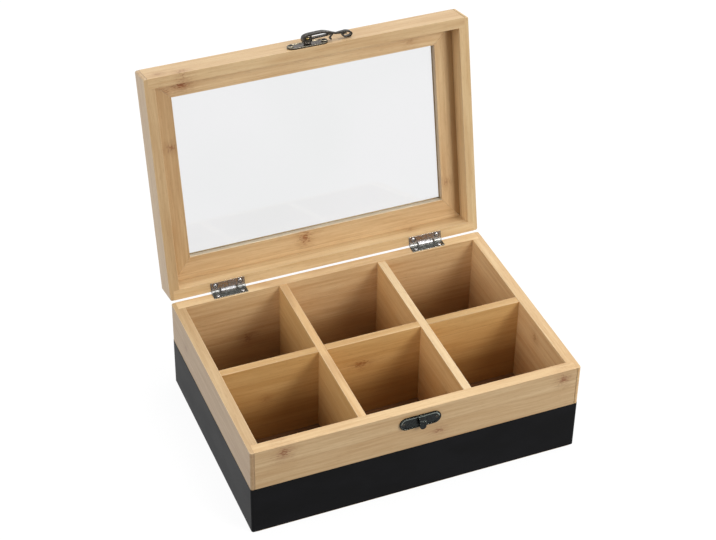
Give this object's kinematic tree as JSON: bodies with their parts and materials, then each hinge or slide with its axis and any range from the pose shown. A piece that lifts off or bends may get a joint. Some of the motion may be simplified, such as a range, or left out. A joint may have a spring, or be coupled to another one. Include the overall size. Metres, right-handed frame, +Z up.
{
  "type": "tea bag organizer box",
  "caption": "Bamboo tea bag box with six compartments, a black painted lower half, a hinged lid with a window and a bronze swivelling hook clasp.",
  "frame": {"origin": "centre of the box's flat underside", "axes": "+Z up, +Y from the clasp at the front to the hinges at the back, +X to the right seen from the front"},
  "size_m": [0.2402, 0.2288, 0.2428],
  "materials": {
    "outer_wood": "satin lacquered bamboo",
    "inner_wood": "plain sanded bamboo",
    "frame_wood": "plain sanded bamboo",
    "paint": "satin black paint",
    "hinge_metal": "nickel plated",
    "clasp_metal": "antiqued bronze plating",
    "rivet_metal": "worn brass",
    "pane": "clear"
  },
  "bodies": {
    "box": {"front_wall": "outer_wood", "back_wall": "outer_wood", "left_wall": "outer_wood", "right_wall": "outer_wood", "bottom_panel": "inner_wood", "black_band": "paint", "long_divider": "inner_wood", "left_cross_divider": "inner_wood", "right_cross_divider": "inner_wood", "left_hinge_box_leaf": "hinge_metal", "right_hinge_box_leaf": "hinge_metal", "left_hinge_pin": "hinge_metal", "right_hinge_pin": "hinge_metal", "box_hinge_nails": "hinge_metal", "catch_plate": "clasp_metal", "catch_nails": "clasp_metal"},
    "lid": {"lid_front_rail": "outer_wood", "lid_back_rail": "outer_wood", "lid_left_rail": "outer_wood", "lid_right_rail": "outer_wood", "window_front_member": "frame_wood", "window_back_member": "frame_wood", "window_left_member": "frame_wood", "window_right_member": "frame_wood", "window_pane": "pane", "left_hinge_lid_leaf": "hinge_metal", "right_hinge_lid_leaf": "hinge_metal", "lid_hinge_nails": "hinge_metal", "hook_plate": "clasp_metal", "hook_plate_nails": "clasp_metal", "hook_rivet": "rivet_metal"},
    "hook": {"hook": "clasp_metal"}
  },
  "joints": [
    {"name": "lid_hinge", "type": "hinge", "parent": "box", "child": "lid", "pos_m": [0, 0.0836, 0.0725], "axis": [1, 0, 0], "range_deg": [0, 102.4]},
    {"name": "hook_swivel", "type": "hinge", "parent": "lid", "child": "hook", "pos_m": [0, 0.12612, 0.23424], "axis": [0, -0.2147, -0.9767], "range_deg": [-90, 78]}
  ]
}
